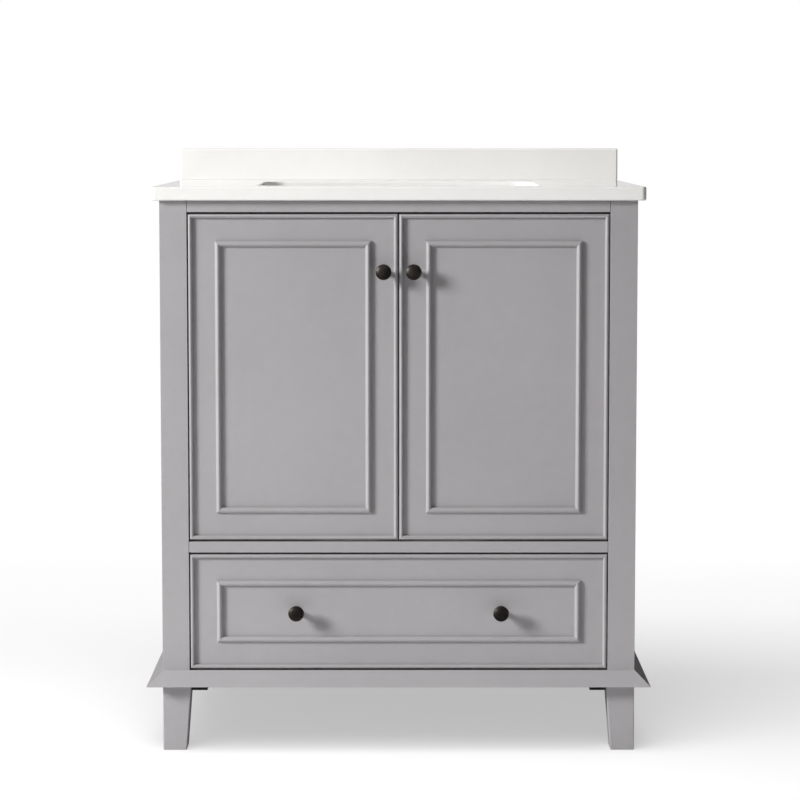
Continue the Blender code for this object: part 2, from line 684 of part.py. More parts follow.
def add_drawer():
    """The drawer front and the box behind it, carried by the inner members of the slides."""
    drawer = add_pivot("drawer_axis", (0.0, FRONT_Y, DRAWER_BASE_Z))
    add_front("drawer_front", 0.0, DRAWER_BASE_Z, DRAWER_FRONT_WIDTH, DRAWER_FRONT_HEIGHT, drawer)
    middle_z = DRAWER_BASE_Z + DRAWER_FRONT_HEIGHT / 2
    for side, sign in SIDES:
        add_knob(f"{side}_drawer_knob", sign * DRAWER_KNOB_X, middle_z, drawer)
    outer_x = STILE_INNER_X - SLIDE_THICKNESS
    inner_x = outer_x - DRAWER_SIDE
    front, back = LEAF_BACK_Y + GAP, LEAF_BACK_Y + DRAWER_BOX_LENGTH
    base = DRAWER_BASE_Z + DRAWER_BOX_LIFT
    top = base + DRAWER_BOX_HEIGHT
    for side, sign in SIDES:
        x = sorted((sign * inner_x, sign * outer_x))
        add_box(f"drawer_{side}_side", (x[0], front, base), (x[1], back, top), BIRCH, drawer)
    fit_x = inner_x - GAP
    floor_base = base + DRAWER_BOTTOM_LIFT
    floor_top = floor_base + DRAWER_BOTTOM
    rear = back - DRAWER_SIDE
    add_box("drawer_back", (-fit_x, rear, base), (fit_x, back, top), BIRCH, drawer)
    inner_front_y = front + DRAWER_SIDE
    add_box("drawer_inner_front", (-fit_x, front, base), (fit_x, inner_front_y, top), BIRCH, drawer)
    low, high = (-fit_x, inner_front_y + GAP, floor_base), (fit_x, rear - GAP, floor_top)
    add_box("drawer_bottom", low, high, BIRCH, drawer)
    add_slides(drawer)


def channel_points(base_x, depth, height, sign):
    """A steel channel seen from its end, its web at base_x and its mouth towards the drawer."""
    half, sheet = height / 2, SLIDE_SHEET
    points = [
        (0.0, -half), (depth, -half), (depth, sheet - half), (sheet, sheet - half),
        (sheet, half - sheet), (depth, half - sheet), (depth, half), (0.0, half),
    ]
    return [(sign * (base_x - x), z) for x, z in points]


def add_slides(drawer):
    """Three members a side, one inside the next: on the cleat, in between, and on the drawer."""
    middle_axis = add_pivot("slide_middle_axis", (0.0, SLIDE_FRONT_Y, SLIDE_Z))
    length = DRAWER_BOX_LENGTH - SLIDE_SETBACK
    along = (math.pi / 2, 0.0, 0.0)
    place = (0.0, SLIDE_FRONT_Y + length / 2, SLIDE_Z)
    outer_web = STILE_INNER_X - GAP
    middle_web = outer_web - SLIDE_SHEET - SLIDE_GAP
    outer_depth = SLIDE_THICKNESS - SLIDE_STEP
    middle_depth = outer_depth - SLIDE_SHEET - SLIDE_GAP + SLIDE_STEP / 2
    middle_height = SLIDE_HEIGHT - 2 * (SLIDE_SHEET + SLIDE_GAP)
    bar_half = middle_height / 2 - SLIDE_SHEET - SLIDE_GAP
    bar_web = middle_web - SLIDE_SHEET - SLIDE_GAP
    bar_inner = STILE_INNER_X - SLIDE_THICKNESS + GAP
    for side, sign in SIDES:
        loop = channel_points(outer_web, outer_depth, SLIDE_HEIGHT, sign)
        rail = outline_curve("cabinet_slide", [loop], length)
        add_object(f"{side}_cabinet_slide", rail, ZINC, place, rotation=along)
        loop = channel_points(middle_web, middle_depth, middle_height, sign)
        middle = outline_curve("middle_slide", [loop], length)
        add_object(f"{side}_middle_slide", middle, ZINC, place, middle_axis, along)
        x = sorted((sign * bar_web, sign * bar_inner))
        low = (x[0], SLIDE_FRONT_Y, SLIDE_Z - bar_half)
        high = (x[1], SLIDE_FRONT_Y + length, SLIDE_Z + bar_half)
        add_box(f"{side}_drawer_slide", low, high, ZINC, drawer)


def main():
    add_carcass()
    add_face_frame()
    add_skirt()
    add_legs()
    add_top()
    add_sink()
    add_doors()
    add_drawer()


main()
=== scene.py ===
import json
import math

import bmesh
import bpy
from mathutils import Matrix, Vector


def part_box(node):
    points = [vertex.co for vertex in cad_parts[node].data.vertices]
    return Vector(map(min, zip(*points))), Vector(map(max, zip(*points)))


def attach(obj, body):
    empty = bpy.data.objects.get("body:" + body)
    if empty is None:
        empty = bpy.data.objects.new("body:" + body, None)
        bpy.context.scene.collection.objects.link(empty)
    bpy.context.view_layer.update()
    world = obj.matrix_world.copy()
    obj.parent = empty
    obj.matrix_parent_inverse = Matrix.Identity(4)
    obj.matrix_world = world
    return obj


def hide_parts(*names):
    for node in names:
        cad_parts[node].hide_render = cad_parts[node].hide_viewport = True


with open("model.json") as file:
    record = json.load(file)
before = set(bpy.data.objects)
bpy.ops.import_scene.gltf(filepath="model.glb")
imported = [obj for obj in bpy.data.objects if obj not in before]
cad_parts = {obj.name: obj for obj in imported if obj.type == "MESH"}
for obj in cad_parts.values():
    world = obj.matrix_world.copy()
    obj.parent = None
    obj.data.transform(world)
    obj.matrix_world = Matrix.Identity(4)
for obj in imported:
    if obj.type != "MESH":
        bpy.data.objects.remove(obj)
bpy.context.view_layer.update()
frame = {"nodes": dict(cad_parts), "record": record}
scene = bpy.context.scene
sides = (("left", -1), ("right", 1))
ends = (("front", -1), ("rear", 1))
toBack = Vector((0, 1, 0))
near = 0.00001  # places closer than this count as the same
print("stage: frame loaded")


def clearSelection():
    if bpy.context.object and bpy.context.object.mode != "OBJECT":
        bpy.ops.object.mode_set(mode="OBJECT")
    bpy.ops.object.select_all(action="DESELECT")


def selectOnly(*pieces):
    clearSelection()
    for piece in pieces:
        piece.select_set(True)
    bpy.context.view_layer.objects.active = pieces[0]


def camelName(node):
    first, *others = node.split("_")
    return first + "".join(word.capitalize() for word in others)


def nameIt(name):
    piece = bpy.context.object
    piece.name = name
    piece.data.name = name
    return piece


def bakePlace():
    bpy.ops.object.transform_apply(location=True, rotation=True, scale=True)


def cubeBetween(name, low, high):
    clearSelection()
    low, high = Vector(low), Vector(high)
    bpy.ops.mesh.primitive_cube_add(size=1, location=(low + high) / 2)
    piece = nameIt(name)
    piece.scale = high - low
    bakePlace()
    return piece


def cylinderAt(name, middle, radius, length, axis="Z", vertices=48):
    clearSelection()
    turn = {"Y": (math.pi / 2, 0, 0), "Z": (0, 0, 0)}[axis]
    bpy.ops.mesh.primitive_cylinder_add(
        vertices=vertices, radius=radius, depth=length, location=middle, rotation=turn)
    piece = nameIt(name)
    bakePlace()
    return piece


def startEdit(piece, mode="FACE"):
    selectOnly(piece)
    bpy.ops.object.mode_set(mode="EDIT")
    bpy.ops.mesh.select_mode(type=mode)
    bpy.ops.mesh.select_all(action="DESELECT")


def endEdit():
    bpy.ops.object.mode_set(mode="OBJECT")


def pick(piece, kind, wanted):
    # selects the faces, edges or verts that the test accepts, and nothing else
    bpy.ops.mesh.select_all(action="DESELECT")
    cage = bmesh.from_edit_mesh(piece.data)
    cage.normal_update()
    for part in getattr(cage, kind):
        if wanted(part):
            part.select_set(True)
    cage.select_flush_mode()
    bmesh.update_edit_mesh(piece.data)


def edgeMiddle(edge):
    return (edge.verts[0].co + edge.verts[1].co) / 2


def runsAlong(edge, axis):
    run = edge.verts[1].co - edge.verts[0].co
    return abs(run[axis]) > 0.99 * run.length


def bevelPicked(width, segments, profile=0.5):
    bpy.ops.mesh.bevel(offset=width, segments=segments, profile=profile, affect="EDGES")


def bevelWhere(piece, wanted, width, segments):
    startEdit(piece, "EDGE")
    pick(piece, "edges", wanted)
    bevelPicked(width, segments)
    endEdit()


def useModifier(piece, kind, **settings):
    selectOnly(piece)
    modifier = piece.modifiers.new(kind, kind)
    for key, value in settings.items():
        setattr(modifier, key, value)
    bpy.ops.object.modifier_apply(modifier=modifier.name)


def cutWith(piece, cutter):
    useModifier(piece, "BOOLEAN", operation="DIFFERENCE", solver="EXACT", object=cutter)
    bpy.data.objects.remove(cutter)


def softShade(piece, angle):
    # round places shade smooth, and the large flats stay flat
    selectOnly(piece)
    bpy.ops.object.shade_smooth_by_angle(angle=math.radians(angle))
    useModifier(piece, "WEIGHTED_NORMAL", keep_sharp=True, weight=80)


def mergeAndFaceOut(piece):
    startEdit(piece, "VERT")
    bpy.ops.mesh.select_all(action="SELECT")
    bpy.ops.mesh.remove_doubles(threshold=near)
    bpy.ops.mesh.normals_make_consistent(inside=False)
    endEdit()


def finishPiece(piece, body, finish, nodes=()):
    piece.data.materials.clear()
    piece.data.materials.append(finish)
    if nodes:
        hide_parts(*nodes)
    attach(piece, body)


class Wire:
    # one output of a node, which sums and products can be written with
    def __init__(self, finish, socket):
        self.finish = finish
        self.socket = socket

    def sum(self, operation, first, second):
        return self.finish.make("ShaderNodeMath", {"operation": operation}, {0: first, 1: second})["Value"]

    def __add__(self, other):
        return self.sum("ADD", self, other)

    def __radd__(self, other):
        return self.sum("ADD", other, self)

    def __sub__(self, other):
        return self.sum("SUBTRACT", self, other)

    def __rsub__(self, other):
        return self.sum("SUBTRACT", other, self)

    def __mul__(self, other):
        return self.sum("MULTIPLY", self, other)

    def __rmul__(self, other):
        return self.sum("MULTIPLY", other, self)


class Finish:
    # one material while it is being mixed
    def __init__(self, name):
        self.material = bpy.data.materials.new(name)
        self.material.use_nodes = True
        self.tree = self.material.node_tree
        self.tree.nodes.clear()
        self.place = self.make("ShaderNodeTexCoord")["Object"]

    def make(self, kind, settings=None, inputs=None):
        node = self.tree.nodes.new(kind)
        for key, value in (settings or {}).items():
            if key == "stops":
                ramp = node.color_ramp
                while len(ramp.elements) < len(value):
                    ramp.elements.new(0.5)
                for element, (spot, shade) in zip(ramp.elements, value):
                    element.position = spot
                    element.color = (*shade, 1)
            else:
                setattr(node, key, value)
        for key, value in (inputs or {}).items():
            if isinstance(key, int):
                socket = node.inputs[key]
            else:
                socket = next(item for item in node.inputs if item.name == key and item.enabled)
            if isinstance(value, Wire):
                self.tree.links.new(value.socket, socket)
            else:
                socket.default_value = value
        return {item.name: Wire(self, item) for item in node.outputs if item.enabled}

    def stretch(self, scale):
        return self.make("ShaderNodeMapping", {}, {"Vector": self.place, "Scale": scale})["Vector"]

    def noise(self, where, scale, detail=4.0, roughness=0.5, distortion=0.0):
        inputs = {"Vector": where, "Scale": scale, "Detail": detail,
                  "Roughness": roughness, "Distortion": distortion}
        return self.make("ShaderNodeTexNoise", {}, inputs)["Fac"]

    def ramp(self, factor, stops):
        return self.make("ShaderNodeValToRGB", {"stops": stops}, {"Fac": factor})["Color"]

    def spread(self, factor, low, high, toLow=0.0, toHigh=1.0):
        inputs = {"Value": factor, "From Min": low, "From Max": high, "To Min": toLow, "To Max": toHigh}
        return self.make("ShaderNodeMapRange", {"clamp": True}, inputs)["Result"]

    def blend(self, factor, first, second):
        first, second = [(*item, 1) if isinstance(item, tuple) else item for item in (first, second)]
        inputs = {"Factor": factor, "A": first, "B": second}
        return self.make("ShaderNodeMix", {"data_type": "RGBA"}, inputs)["Result"]

    def bump(self, height, strength, distance, under=None):
        inputs = {"Height": height, "Strength": strength, "Distance": distance}
        if under:
            inputs["Normal"] = under
        return self.make("ShaderNodeBump", {}, inputs)["Normal"]

    def close(self, **inputs):
        named = {key.replace("_", " "): value for key, value in inputs.items()}
        shader = self.make("ShaderNodeBsdfPrincipled", {}, named)["BSDF"]
        self.make("ShaderNodeOutputMaterial", {}, {"Surface": shader})
        return self.material


paintLook = {
    "color": (0.366, 0.354, 0.364), "dark": 0.955, "light": 1.035, "gloss": (0.35, 0.46),
    "orangePeel": 520.0, "peelDepth": 0.00006, "grainDepth": 0.00025, "coat": 0.12, "coatGloss": 0.25,
}


def makePaint(name, grainScale):
    # sprayed satin paint: a fine orange peel, slow drifts of tone, and a little of the board's grain
    finish = Finish(name)
    look = paintLook
    cloud = finish.noise(finish.place, 3.5, 3.0)
    speck = finish.noise(finish.place, 60.0, 5.0, 0.6)
    dark = tuple(shade * look["dark"] for shade in look["color"])
    light = tuple(shade * look["light"] for shade in look["color"])
    tone = finish.blend(finish.spread(cloud * 0.7 + speck * 0.3, 0.35, 0.65), dark, light)
    peel = finish.noise(finish.place, look["orangePeel"], 2.0)
    grain = finish.noise(finish.stretch(grainScale), 1.0, 6.0, 0.62, 0.4)
    relief = finish.bump(peel, 0.28, look["peelDepth"])
    relief = finish.bump(grain, 0.12, look["grainDepth"], relief)
    gloss = finish.spread(speck * 0.5 + grain * 0.5, 0.3, 0.7, *look["gloss"])
    return finish.close(Base_Color=tone, Roughness=gloss, Normal=relief,
                        Coat_Weight=look["coat"], Coat_Roughness=look["coatGloss"])


stoneLook = {
    "dark": (0.815, 0.805, 0.78), "light": (0.86, 0.852, 0.83), "vein": (0.7, 0.685, 0.66), "veined": 0.06,
    "veinWidth": 0.035, "grit": (0.93, 0.925, 0.91), "gritty": 0.35, "gloss": (0.035, 0.06),
    "coat": 0.2, "coatGloss": 0.03,
}


def makeStone():
    # polished cultured stone: warm white, with soft clouds, pale veins and fine grit
    finish = Finish("whiteStone")
    look = stoneLook
    cloud = finish.noise(finish.place, 4.0, 6.0, 0.55, 0.6)
    grit = finish.noise(finish.place, 900.0, 2.0, 0.7)
    drift = finish.noise(finish.place, 7.0, 5.0, 0.6, 2.2)
    fromVein = finish.make("ShaderNodeMath", {"operation": "ABSOLUTE"}, {0: drift - 0.5})["Value"]
    vein = finish.spread(fromVein, 0.0, look["veinWidth"], 1.0, 0.0)
    body = finish.blend(finish.spread(cloud, 0.35, 0.65), look["dark"], look["light"])
    veined = finish.blend(vein * look["veined"], body, look["vein"])
    gritty = finish.blend(finish.spread(grit, 0.62, 0.74, 0.0, look["gritty"]), veined, look["grit"])
    relief = finish.bump(finish.noise(finish.place, 35.0, 3.0), 0.03, 0.0001)
    gloss = finish.spread(cloud, 0.3, 0.7, *look["gloss"])
    return finish.close(Base_Color=gritty, Roughness=gloss, Normal=relief,
                        Coat_Weight=look["coat"], Coat_Roughness=look["coatGloss"])


porcelainLook = {"dark": (0.86, 0.862, 0.855), "light": (0.9, 0.9, 0.893), "gloss": (0.05, 0.1),
                 "waviness": 0.0004, "coat": 0.6, "coatGloss": 0.03}


def makePorcelain():
    # glazed and glossy, a little wavy from the kiln
    finish = Finish("whitePorcelain")
    look = porcelainLook
    drift = finish.noise(finish.place, 9.0, 3.0)
    tone = finish.blend(finish.spread(drift, 0.3, 0.7), look["dark"], look["light"])
    relief = finish.bump(finish.noise(finish.place, 28.0, 2.0), 0.06, look["waviness"])
    gloss = finish.spread(drift, 0.3, 0.7, *look["gloss"])
    return finish.close(Base_Color=tone, Roughness=gloss, Normal=relief,
                        Coat_Weight=look["coat"], Coat_Roughness=look["coatGloss"])


bronzeLook = {"dark": (0.037, 0.033, 0.03), "rubbed": (0.078, 0.066, 0.057), "gloss": (0.3, 0.46),
              "tooth": 0.00004, "metal": 0.75}


def makeBronze():
    # dark oil-rubbed metal, with a fine tooth and small rubbed patches
    finish = Finish("darkBronze")
    look = bronzeLook
    patch = finish.noise(finish.place, 70.0, 5.0, 0.6)
    fine = finish.noise(finish.place, 1400.0, 2.0)
    tone = finish.blend(finish.spread(patch, 0.42, 0.68), look["dark"], look["rubbed"])
    gloss = finish.spread(patch * 0.6 + fine * 0.4, 0.3, 0.7, *look["gloss"])
    relief = finish.bump(fine, 0.2, look["tooth"])
    return finish.close(Base_Color=tone, Metallic=look["metal"], Roughness=gloss, Normal=relief)


platedLook = {"nickel": (0.66, 0.655, 0.64), "zinc": (0.58, 0.59, 0.6), "screwZinc": (0.55, 0.55, 0.54),
              "smeared": 0.86, "acrossBrush": 1600.0, "alongBrush": 40.0, "gloss": (0.2, 0.38),
              "brushDepth": 0.00005}


def makePlatedSteel(name, color, along):
    # plated sheet steel, brushed along one axis
    finish = Finish(name)
    look = platedLook
    scale = [look["acrossBrush"]] * 3
    scale[along] = look["alongBrush"]
    brushed = finish.noise(finish.stretch(tuple(scale)), 1.0, 4.0, 0.65)
    smear = finish.noise(finish.place, 40.0, 4.0, 0.6)
    dark = tuple(shade * look["smeared"] for shade in color)
    tone = finish.blend(finish.spread(smear * 0.6 + brushed * 0.4, 0.35, 0.65), dark, color)
    gloss = finish.spread(brushed * 0.7 + smear * 0.3, 0.3, 0.7, *look["gloss"])
    relief = finish.bump(brushed, 0.12, look["brushDepth"])
    return finish.close(Base_Color=tone, Metallic=1.0, Roughness=gloss, Normal=relief)


birchLook = {"pale": (0.68, 0.53, 0.36), "deep": (0.57, 0.41, 0.25), "gloss": 0.38, "contrast": 1.0}
plyLook = {"pale": (0.66, 0.55, 0.41), "deep": (0.56, 0.44, 0.3), "gloss": 0.45, "contrast": 0.8}
# scale of the bands and the pores, across the grain and along it
grainLook = {"bands": (26.0, 1.7), "pores": (620.0, 16.0), "poreDark": 0.62, "poreDepth": 0.00012}


def makeWood(name, along, look):
    # lacquered wood: growth bands and pores drawn out along one axis
    finish = Finish(name)
    contrast, deep, gloss = look["contrast"], look["deep"], look["gloss"]
    bandScale, poreScale = [[grainLook[kind][0]] * 3 for kind in ("bands", "pores")]
    bandScale[along], poreScale[along] = grainLook["bands"][1], grainLook["pores"][1]
    bands = finish.noise(finish.stretch(tuple(bandScale)), 1.0, 5.0, 0.55, 1.1)
    pores = finish.noise(finish.stretch(tuple(poreScale)), 1.0, 3.0, 0.6)
    figure = finish.noise(finish.place, 5.0, 3.0)
    banded = finish.spread(bands * 0.7 + figure * 0.3, 0.5 - 0.17 / contrast, 0.5 + 0.17 / contrast)
    tone = finish.blend(banded, look["pale"], deep)
    darkPore = tuple(shade * grainLook["poreDark"] for shade in deep)
    tone = finish.blend(finish.spread(pores, 0.6, 0.74, 0.0, 0.55 * contrast), tone, darkPore)
    relief = finish.bump(pores, 0.16, grainLook["poreDepth"])
    shine = finish.spread(pores * 0.5 + bands * 0.5, 0.3, 0.7, gloss - 0.05, gloss + 0.08)
    return finish.close(Base_Color=tone, Roughness=shine, Normal=relief)


plasticLook = {"dark": (0.012, 0.012, 0.013), "scuffed": (0.03, 0.03, 0.031), "gloss": (0.42, 0.6),
               "tooth": 0.00008}


def makeBlackPlastic():
    # moulded blocks with a fine tooth and light scuffs
    finish = Finish("blackPlastic")
    look = plasticLook
    tooth = finish.noise(finish.place, 900.0, 2.0)
    scuff = finish.noise(finish.place, 50.0, 5.0, 0.65)
    tone = finish.blend(finish.spread(scuff, 0.45, 0.75), look["dark"], look["scuffed"])
    gloss = finish.spread(scuff * 0.5 + tooth * 0.5, 0.3, 0.7, *look["gloss"])
    return finish.close(Base_Color=tone, Roughness=gloss, Normal=finish.bump(tooth, 0.3, look["tooth"]))


paint = {
    "x": makePaint("greyPaintLong", (9.0, 130.0, 130.0)),
    "y": makePaint("greyPaintDeep", (130.0, 9.0, 130.0)),
    "z": makePaint("greyPaintTall", (130.0, 130.0, 9.0)),
}
stone = makeStone()
porcelain = makePorcelain()
bronze = makeBronze()
hingeSteel = makePlatedSteel("hingeNickel", platedLook["nickel"], 1)
slideSteel = makePlatedSteel("slideZinc", platedLook["zinc"], 1)
screwSteel = makePlatedSteel("screwZinc", platedLook["screwZinc"], 2)
birchX = makeWood("birchLong", 0, birchLook)
birchY = makeWood("birchDeep", 1, birchLook)
plyX = makeWood("plyLong", 0, plyLook)
plyZ = makeWood("plyTall", 2, plyLook)
blackPlastic = makeBlackPlastic()
print("stage: finishes mixed")


def paintNode(node, finish):
    data = frame["nodes"][node].data
    data.materials.clear()
    data.materials.append(finish)


def keepCadPieces():
    # the plain boards and the sheet-metal parts keep their CAD shape
    paintNode("bottom_panel", paint["x"])
    for node in ("shelf_panel", "rear_stretcher"):
        paintNode(node, plyX)
    for node in ("left_hinge_cleat", "right_hinge_cleat"):
        paintNode(node, plyZ)
    for side, sign in sides:
        for level in ("upper", "lower"):
            for part in ("arm", "link"):
                paintNode(f"{side}_{level}_hinge_{part}", hingeSteel)
        for part in ("cabinet", "middle", "drawer"):
            paintNode(f"{side}_{part}_slide", slideSteel)
        for end, back in ends:
            paintNode(f"{end}_{side}_leg_block", blackPlastic)


boardLook = {"ease": 0.0006, "railEase": 0.0013, "segments": 2, "smooth": 35, "closer": 0.0005}


def easedBoard(name, low, high, ease, segments=boardLook["segments"]):
    piece = cubeBetween(name, low, high)
    startEdit(piece, "EDGE")
    bpy.ops.mesh.select_all(action="SELECT")
    bevelPicked(ease, segments)
    endEdit()
    softShade(piece, boardLook["smooth"])
    return piece


def makeFaceFrame():
    for side, sign in sides:
        for node in (f"{side}_stile", f"{side}_side_panel"):
            low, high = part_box(node)
            if node.endswith("stile"):
                inner = high if sign < 0 else low
                inner.x -= sign * boardLook["closer"]  # a finer gap beside the doors
            piece = easedBoard(camelName(node), low, high, boardLook["ease"])
            finishPiece(piece, "cabinet", paint["z"], [node])
    for rail in ("top", "middle", "bottom"):
        low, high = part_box(f"{rail}_rail")
        low.x += boardLook["closer"]
        high.x -= boardLook["closer"]
        piece = easedBoard(f"{rail}Rail", low, high, boardLook["railEase"])
        finishPiece(piece, "cabinet", paint["x"], [f"{rail}_rail"])


skirtLook = {"topLedge": 0.003, "nose": 0.003, "ease": 0.0011, "segments": 4, "smooth": 30,
             "mitreGap": 0.0001}


def flaredBar(name, low, high, outward, mitres):
    # outward is the horizontal way the flare leans; mitres lists the ends cut at 45 degrees
    piece = cubeBetween(name, low, high)
    look = skirtLook
    outer = Vector([(high if outward[axis] > 0 else low)[axis] for axis in range(3)])
    inner = Vector([(low if outward[axis] > 0 else high)[axis] for axis in range(3)])
    top = inner + outward * look["topLedge"]
    top.z = high.z
    foot = outer.copy()
    foot.z = low.z + look["nose"]
    across = Vector((abs(outward.x), abs(outward.y), 0))
    slope = (foot - top) * across.length
    slope = Vector((slope.x * across.x, slope.y * across.y, slope.z))
    along = Vector((across.y, across.x, 0))
    normal = slope.cross(along)
    if normal.dot(outward) < 0:
        normal.negate()
    startEdit(piece)
    bpy.ops.mesh.select_all(action="SELECT")
    bpy.ops.mesh.bisect(plane_co=top, plane_no=normal, clear_outer=True, use_fill=True)
    endEdit()
    startEdit(piece, "EDGE")
    axis = 0 if abs(outward.y) else 1
    pick(piece, "edges", lambda edge: runsAlong(edge, axis)
         and (edgeMiddle(edge) - inner).dot(outward) > look["topLedge"] / 3)
    bevelPicked(look["ease"], look["segments"])
    for corner, plane in mitres:
        bpy.ops.mesh.select_all(action="SELECT")
        bpy.ops.mesh.bisect(plane_co=corner, plane_no=plane, clear_outer=True, use_fill=True)
    endEdit()
    softShade(piece, look["smooth"])
    return piece


def makeSkirt():
    frontLow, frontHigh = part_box("front_skirt")
    half = math.sqrt(0.5)
    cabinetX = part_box("right_stile")[1].x
    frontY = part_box("right_stile")[0].y
    gap = skirtLook["mitreGap"]
    mitres = []
    for side, sign in sides:
        corner = Vector((sign * cabinetX, frontY - gap, 0))
        mitres.append((corner, Vector((sign * half, half, 0))))
    low, high = frontLow.copy(), frontHigh.copy()
    piece = flaredBar("frontSkirt", low, high, Vector((0, -1, 0)), mitres)
    finishPiece(piece, "cabinet", paint["x"], ["front_skirt"])
    for side, sign in sides:
        low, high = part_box(f"{side}_skirt")
        corner = Vector((sign * (cabinetX + gap), frontY, 0))
        mitre = [(corner, Vector((-sign * half, -half, 0)))]
        piece = flaredBar(f"{side}Skirt", low, high, Vector((sign, 0, 0)), mitre)
        finishPiece(piece, "cabinet", paint["y"], [f"{side}_skirt"])


legLook = {"foot": 0.038, "ease": 0.0018, "segments": 4, "smooth": 30}


def makeLegs():
    for side, sign in sides:
        for end, back in ends:
            node = f"{end}_{side}_leg"
            low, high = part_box(node)
            piece = cubeBetween(f"{end}{side.capitalize()}Leg", low, high)
            pin = Vector((high.x if sign > 0 else low.x, high.y if back > 0 else low.y, low.z))
            shrink = legLook["foot"] / (high.x - low.x)
            startEdit(piece)
            pick(piece, "faces", lambda face: face.normal.z < -0.9)
            bpy.ops.transform.resize(value=(shrink, shrink, 1), center_override=pin)
            endEdit()
            top = high.z - near
            bevelWhere(piece, lambda edge: edgeMiddle(edge).z < top, legLook["ease"], legLook["segments"])
            softShade(piece, legLook["smooth"])
            finishPiece(piece, "cabinet", paint["z"], [node])


topLook = {
    "corner": 0.008, "cornerSegments": 8, "roundOver": 0.0028, "segments": 4, "smooth": 30,
    "sinkCorner": 0.038, "sinkSegments": 14, "faucetHole": 0.0175, "cutBeyond": 0.01,
}


def roundedBlock(name, low, high, radius, segments):
    # a block whose standing edges are rounded
    piece = cubeBetween(name, low, high)
    bevelWhere(piece, lambda edge: runsAlong(edge, 2), radius, segments)
    return piece


def sinkOpening():
    # the cut-out's box, from the sink node and the lip that it seats under the stone
    low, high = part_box("sink_bowl")
    lip = sinkLook["flange"]
    return Vector((low.x + lip, low.y + lip, low.z)), Vector((high.x - lip, high.y - lip, high.z))


def faucetHoles():
    # the three shank holes, from the boxes that the record states for them
    holes = []
    for opening in frame["record"]["physics"]["openings"]:
        if "faucet_hole" in opening["name"]:
            low, high = opening["box_m"]
            holes.append((Vector(low) + Vector(high)) / 2)
    return holes


def makeCountertop():
    low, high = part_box("countertop")
    look = topLook
    piece = roundedBlock("countertop", low, high, look["corner"], look["cornerSegments"])
    openLow, openHigh = sinkOpening()
    openLow.z, openHigh.z = low.z - look["cutBeyond"], high.z + look["cutBeyond"]
    cutWith(piece, roundedBlock("sinkCutter", openLow, openHigh, look["sinkCorner"], look["sinkSegments"]))
    for spot in faucetHoles():
        spot.z = (low.z + high.z) / 2
        depth = high.z - low.z + 2 * look["cutBeyond"]
        cutWith(piece, cylinderAt("faucetCutter", spot, look["faucetHole"], depth))
    bevelWhere(piece, lambda edge: onRim(edge, low.z, high.z), look["roundOver"], look["segments"])
    softShade(piece, look["smooth"])
    finishPiece(piece, "cabinet", stone, ["countertop"])


def isSharp(edge):
    return len(edge.link_faces) == 2 and edge.calc_face_angle(0) > 1.0


def onRim(edge, lowZ, highZ):
    # an edge where a standing wall meets the top or the underside
    level = any(all(abs(vert.co.z - z) < near for vert in edge.verts) for z in (lowZ, highZ))
    return level and isSharp(edge)


splashLook = {"ease": 0.003, "segments": 5, "smooth": 30}


def makeBacksplash():
    low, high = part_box("backsplash")
    piece = cubeBetween("backsplash", low, high)
    aboveFoot = low.z + near
    bevelWhere(piece, lambda edge: edgeMiddle(edge).z > aboveFoot, splashLook["ease"], splashLook["segments"])
    softShade(piece, splashLook["smooth"])
    finishPiece(piece, "cabinet", stone, ["backsplash"])


sinkLook = {
    "flange": 0.018, "wall": 0.008, "slope": 0.005, "heel": 0.035, "heelSegments": 8, "cornerSegments": 12,
    # each ring's share of the floor's size, and its share of the fall
    "falls": ((0.72, 0.25), (0.42, 0.7), (0.24, 1.0)), "fall": 0.006,
    "drain": 0.0225, "seat": 0.009, "seatDepth": 0.0012, "drainVertices": 64, "rimEase": 0.0005,
    "rimSegments": 3, "smooth": 40,
}


